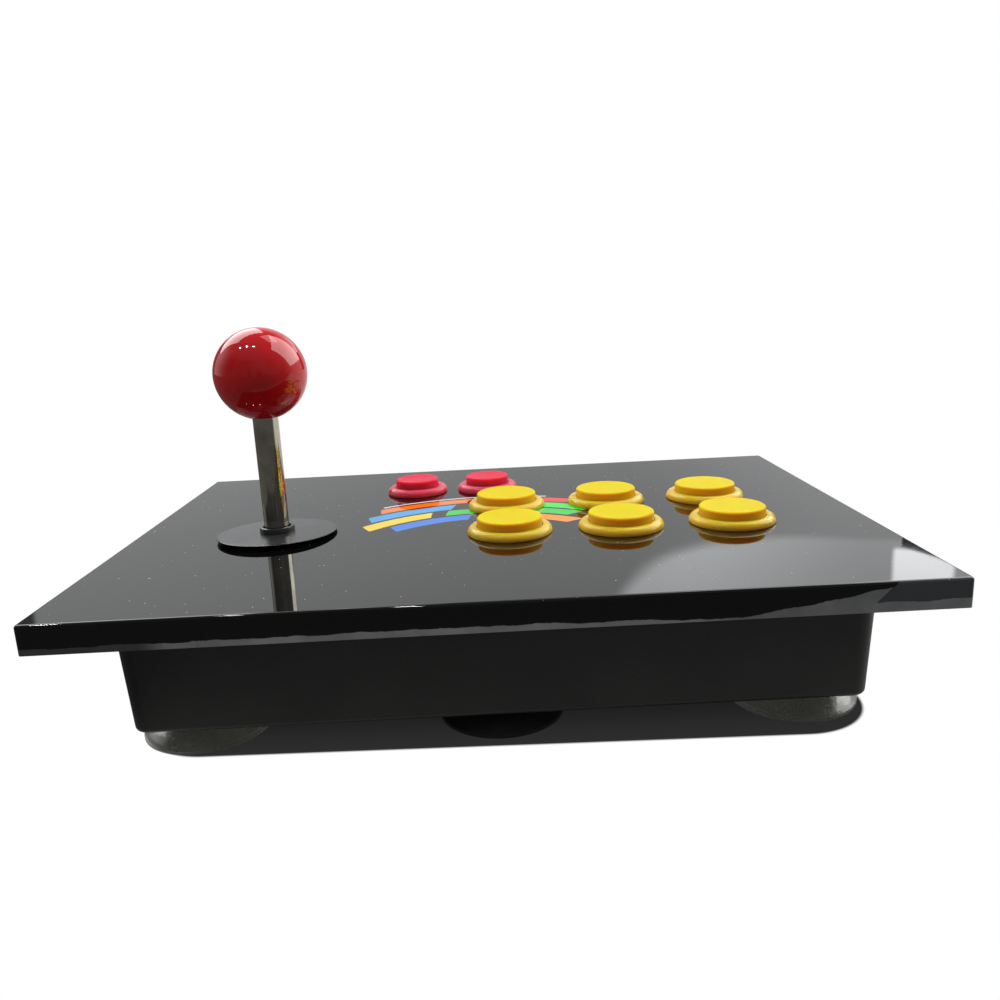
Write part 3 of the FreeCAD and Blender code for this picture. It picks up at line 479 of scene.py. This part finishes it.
finishes = {"panel_black": makePanelFilm()}
for slotName, slotLook in mouldedLooks.items():
    finishes[slotName] = makeMoulded(slotName + "_moulded", slotLook)
for slotName, slotLook in metalLooks.items():
    finishes[slotName] = makeMetal(slotName + "_metal", slotLook)
capFinish = {"play_plunger": "cap_yellow", "start_plunger": "cap_red"}        # satin caps in glossy rims
for nodeName, node in nodes.items():
    kind = "_".join(nodeName.split("_")[:2])
    for materialSlot in node.material_slots:
        slotName = capFinish.get(kind, materialSlot.material.name.split(".")[0])
        materialSlot.material = finishes[slotName]
print("finishes made:", len(finishes))


# dust washer: a thin disc with a hub, loose on the shaft and lying a little askew

washerLook = {
    "name": "loose_washer",
    "sides": 144,
    "merge": 0.000005,
    "sharp": math.radians(35),
    "lean": math.radians(2.1),        # its front edge is up
    "profile": [        # radius, and height above the panel, ring by ring
        (0.00575, 0.00102), (0.0236, 0.00102), (0.0239, 0.00106), (0.0240, 0.00115), (0.0240, 0.0013),
        (0.02392, 0.00138), (0.02375, 0.00142), (0.0234, 0.00143), (0.0070, 0.0016), (0.0070, 0.0034),
        (0.00685, 0.00375), (0.0065, 0.0039), (0.00575, 0.0039),
    ],
}


def makeWasher():
    look = washerLook
    low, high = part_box("dust_washer")
    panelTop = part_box("top_panel")[1].z
    radius, height = look["profile"][0]
    centre = ((low.x + high.x) / 2, (low.y + high.y) / 2, panelTop + height)
    bpy.ops.object.select_all(action="DESELECT")
    bpy.ops.mesh.primitive_circle_add(vertices=look["sides"], radius=radius, location=centre)
    washer = bpy.context.object
    washer.name = look["name"]
    bpy.ops.object.mode_set(mode="EDIT")
    bpy.ops.mesh.select_all(action="SELECT")
    for nextRadius, nextHeight in look["profile"][1:] + look["profile"][:1]:        # back to the first ring
        bpy.ops.mesh.extrude_region_move(TRANSFORM_OT_translate={"value": (0, 0, nextHeight - height)})
        bpy.ops.transform.resize(value=(nextRadius / radius, nextRadius / radius, 1))
        radius, height = nextRadius, nextHeight
    bpy.ops.mesh.select_all(action="SELECT")
    bpy.ops.mesh.remove_doubles(threshold=look["merge"])
    bpy.ops.mesh.normals_make_consistent(inside=False)
    bpy.ops.object.mode_set(mode="OBJECT")
    washer.rotation_euler.x = -look["lean"]
    bpy.ops.object.transform_apply(location=True, rotation=True, scale=True)
    bpy.ops.object.shade_smooth_by_angle(angle=look["sharp"])
    washer.data.materials.append(finishes["washer_black"])
    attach(washer, "dust_washer")
    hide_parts("dust_washer")


makeWasher()
print("washer turned")


# stage: floor, backdrop, lamps and camera

def inReflection(tree, path):
    return calc(tree, "MAXIMUM", path["Is Glossy Ray"], path["Is Transmission Ray"])


floorLook = {
    "size": 12.0,
    "grey": 0.4,        # what the floor throws back at the object
    "mirrorTint": (1, 0.98, 0.93, 1),
    "mirrorFront": 0.1,        # how bright it is in reflections: before the object, beside it and at its left
    "mirrorSide": 0.8,
    "mirrorLeft": 0.11,
    "frontFrom": (-0.25, 0.0),
    "leftFrom": (-0.16, -0.12),
    "mirrorShade": 0.08,        # the least that the painted contact shadow gives there
    "shadeHalf": (0.133, 0.0855),        # the painted contact shadow reaches a little past the tub
    "shadeTurn": 0.031,
    "shadeCorner": 0.028,
    "shadeSoft": 0.0008,
    "shadeLevels": (0.014, 0.026),        # painted shadow levels: deep under the tub and at the shadow's rim
}


def floorWhiteAndPaintedShadow(tree, x, y):        # white, with a painted contact shadow as a rounded rectangle
    look = floorLook
    corner, soft = look["shadeCorner"], look["shadeSoft"]
    turned = plus(tree, y, times(tree, x, look["shadeTurn"]))
    squares = []
    for value, half in zip((x, turned), look["shadeHalf"]):
        reach = minus(tree, calc(tree, "ABSOLUTE", value), half - corner)
        squares.append(calc(tree, "POWER", calc(tree, "MAXIMUM", reach, 0.0), 2.0))
    away = minus(tree, calc(tree, "SQRT", plus(tree, *squares)), corner)
    shade = ramp(tree, away, -corner, 0.0, *look["shadeLevels"])
    return calc(tree, "MAXIMUM", shade, ramp(tree, away, -soft, soft))


def makeFloor():
    look = floorLook
    bpy.ops.object.select_all(action="DESELECT")
    bpy.ops.mesh.primitive_plane_add(size=look["size"], location=(0, 0, 0))
    floor = bpy.context.object
    floor.name = "floor"
    material = bpy.data.materials.new("paleFloor")
    material.use_nodes = True
    tree = material.node_tree
    tree.nodes.clear()
    path = addNode(tree, "ShaderNodeLightPath").outputs
    x, y = splitVector(tree, addNode(tree, "ShaderNodeTexCoord").outputs["Object"])[:2]
    glow = floorWhiteAndPaintedShadow(tree, x, y)
    white = addNode(tree, "ShaderNodeEmission", {"Color": (1, 1, 1, 1), "Strength": glow})
    beside = ramp(tree, x, *look["leftFrom"], look["mirrorLeft"], look["mirrorSide"])
    level = ramp(tree, y, *look["frontFrom"], look["mirrorFront"], beside)
    # the painted contact shadow darkens the floor in reflections too
    strength = times(tree, calc(tree, "MAXIMUM", glow, look["mirrorShade"]), level)
    mirrored = addNode(tree, "ShaderNodeEmission", {"Color": look["mirrorTint"], "Strength": strength})
    plain = addNode(tree, "ShaderNodeBsdfDiffuse", {"Color": (look["grey"],) * 3 + (1,)})
    unseen = mixShader(tree, inReflection(tree, path), plain.outputs["BSDF"], mirrored.outputs["Emission"])
    surface = mixShader(tree, path["Is Camera Ray"], unseen, white.outputs["Emission"])
    tree.links.new(surface, addNode(tree, "ShaderNodeOutputMaterial").inputs["Surface"])
    floor.data.materials.append(material)


backdropLook = {        # angles in degrees; azimuth is nought straight behind and grows to the right
    "tint": (0.98, 0.99, 1, 1),
    "behindFrom": (-0.25, 0.4),        # where the front of the room gives way to the back
    "behindRise": (10.0, 22.0, 0.58, 0.78),        # from and to, and the levels there
    "behindTurn": (-25.0, 5.0, 1.08, 0.95),
    "behindRight": (9.0, 24.0, 1.0, 1.35),
    "front": {"strength": 0.13, "squeeze": 0.25, "scale": 3.2, "levels": (0.35, 1.7)},
    "above": {"elevation": (28.0, 48.0), "strength": 0.2},
    "glow": {"azimuth": (26.5, 30.0), "elevation": (16.1, 24), "strength": 2.3, "soft": 0.2},
    "shade": {"azimuth": (-52, -29.5), "elevation": (-5, 22), "strength": 0.16, "soft": 0.25},
    "streak": {"azimuth": (26.9, 40), "fade": 1.0, "rise": 0.3, "elevation": 15.95, "soft": 0.1,
               "strength": 0.08},
    "sheen": {"corner": (5.5, 14.6), "edge": (15, 23), "fall": (12.0, 26.0, 1.05, 0.25),
              "top": (22, 27), "right": (40.0, 60.0)},
    "soaked": 0.38,        # share of the room's light that reaches matt faces
    "soakedMost": 0.7,        # brighter parts of the room count as this for them
}


def roomLevel(tree, x, y, z, azimuth, elevation):        # plain walls: striped in front, pale behind
    look = backdropLook
    front, above = look["front"], look["above"]
    squeezed = addNode(tree, "ShaderNodeCombineXYZ", {"X": x, "Y": y, "Z": times(tree, z, front["squeeze"])})
    stripes = mottled(tree, squeezed.outputs["Vector"], front["scale"], *front["levels"])
    behind = times(tree, ramp(tree, azimuth, *look["behindTurn"]), ramp(tree, elevation, *look["behindRise"]),
                   ramp(tree, azimuth, *look["behindRight"]))
    isBehind = ramp(tree, y, *look["behindFrom"])
    walls = plus(tree, times(tree, behind, isBehind),
                 times(tree, times(tree, stripes, front["strength"]), opposite(tree, isBehind)))
    isAbove = ramp(tree, elevation, *above["elevation"])
    return plus(tree, times(tree, walls, opposite(tree, isAbove)), times(tree, isAbove, above["strength"]))


def roomPatch(tree, name, azimuth, elevation):        # a bounded patch of the backdrop
    patch = backdropLook[name]
    return times(tree, between(tree, azimuth, *patch["azimuth"], patch["soft"]),
                 between(tree, elevation, *patch["elevation"], patch["soft"]))


def paleSweep(tree, azimuth, elevation):        # a pale sweep with a curved edge, low on the right
    sheen = backdropLook["sheen"]
    cornerAzimuth, cornerElevation = sheen["corner"]
    product = times(tree, calc(tree, "MAXIMUM", minus(tree, azimuth, cornerAzimuth), 0.0),
                    calc(tree, "MAXIMUM", minus(tree, elevation, cornerElevation), 0.0))
    return times(tree, ramp(tree, product, *sheen["edge"]), ramp(tree, azimuth, *sheen["fall"]),
                 opposite(tree, ramp(tree, elevation, *sheen["top"])),
                 opposite(tree, ramp(tree, azimuth, *sheen["right"])))


def darkStreak(tree, azimuth, elevation):        # and a dark strip over the sweep's right end
    streak = backdropLook["streak"]
    start, end = streak["azimuth"]
    level, soft = streak["elevation"], streak["soft"]
    slope = minus(tree, elevation, times(tree, minus(tree, azimuth, start), streak["rise"]))
    along = times(tree, ramp(tree, azimuth, start - soft, start + soft),
                  ramp(tree, azimuth, end + streak["fade"], end))
    return times(tree, ramp(tree, slope, level + soft, level - soft), along)


def makeBackdrop():
    look = backdropLook
    world = bpy.data.worlds.new("backdrop")
    bpy.context.scene.world = world
    world.use_nodes = True
    tree = world.node_tree
    tree.nodes.clear()
    x, y, z = splitVector(tree, addNode(tree, "ShaderNodeTexCoord").outputs["Generated"])
    azimuth = times(tree, calc(tree, "ARCTAN2", x, y), 180 / math.pi)
    elevation = times(tree, calc(tree, "ARCSINE", z), 180 / math.pi)
    room = roomLevel(tree, x, y, z, azimuth, elevation)
    inShade = roomPatch(tree, "shade", azimuth, elevation)
    room = times(tree, room, ramp(tree, inShade, 0.0, 1.0, 1.0, look["shade"]["strength"]))
    glow = times(tree, roomPatch(tree, "glow", azimuth, elevation), look["glow"]["strength"])
    room = plus(tree, room, paleSweep(tree, azimuth, elevation), glow)
    isDark = darkStreak(tree, azimuth, elevation)
    room = times(tree, room, ramp(tree, isDark, 0.0, 1.0, 1.0, look["streak"]["strength"]))
    soaked = times(tree, calc(tree, "MINIMUM", room, look["soakedMost"]), look["soaked"])
    white = addNode(tree, "ShaderNodeBackground", {"Color": (1, 1, 1, 1), "Strength": 1.0})
    matt, mirrored = [addNode(tree, "ShaderNodeBackground", {"Color": look["tint"], "Strength": strength})
                      for strength in (soaked, room)]
    path = addNode(tree, "ShaderNodeLightPath").outputs
    unseen = mixShader(tree, inReflection(tree, path), matt.outputs[0], mirrored.outputs[0])
    surface = mixShader(tree, path["Is Camera Ray"], unseen, white.outputs[0])
    tree.links.new(surface, addNode(tree, "ShaderNodeOutputWorld").inputs["Surface"])


lampLook = {
    "target": Vector((-0.05, -0.02, 0.09)),
    "windows": [        # azimuth and elevation in degrees, distance, width, height, watts
        ("windowLeft", -38, 41, 1.6, 1.2, 1.1, 13.0),
        ("windowRight", 62, 41, 1.6, 1.5, 1.6, 24.0),
        ("windowRightPane", 32, 66, 1.55, 0.6, 0.5, 1.5),
    ],
    "ceilingRow": [(-0.95, -0.32, 1.6), (-0.56, -0.37, 1.6), (-0.19, -0.42, 1.6)],
    "ceilingSize": 0.05,
    "ceilingWatts": 2.8,
}


def addLamp(name, location, width, height, watts):
    bpy.ops.object.select_all(action="DESELECT")
    bpy.ops.object.light_add(type="AREA", location=location)
    lamp = bpy.context.object
    lamp.name = name
    lamp.data.shape = "RECTANGLE"
    lamp.data.size = width
    lamp.data.size_y = height
    lamp.data.energy = watts
    lamp.visible_camera = False
    lamp.rotation_euler = (lamp.location - lampLook["target"]).to_track_quat("Z", "Y").to_euler()


def addLamps():
    look = lampLook
    for name, azimuth, elevation, distance, width, height, watts in look["windows"]:
        turn, lift = math.radians(azimuth), math.radians(elevation)
        level = distance * math.cos(lift)
        offset = Vector((level * math.sin(turn), level * math.cos(turn), distance * math.sin(lift)))
        addLamp(name, look["target"] + offset, width, height, watts)
    size = look["ceilingSize"]
    for number, location in enumerate(look["ceilingRow"], start=1):
        addLamp(f"ceilingLamp{number}", location, size, size, look["ceilingWatts"])


cameraLook = {
    "location": (-0.00117, -0.35249, 0.15122),
    "turn": (76.5416, 2.5686, -1.3935),        # degrees
    "lens": 30.68,
    "sensor": 36.0,
    "clipStart": 0.01,
}


def addCamera():
    look = cameraLook
    bpy.ops.object.select_all(action="DESELECT")
    bpy.ops.object.camera_add(location=look["location"], rotation=[math.radians(a) for a in look["turn"]])
    camera = bpy.context.object
    camera.name = "photoCamera"
    camera.data.lens = look["lens"]
    camera.data.sensor_width = look["sensor"]
    camera.data.clip_start = look["clipStart"]
    bpy.context.scene.camera = camera


makeFloor()
makeBackdrop()
addLamps()
addCamera()
bpy.context.scene.view_settings.view_transform = "Standard"
print("stage set")
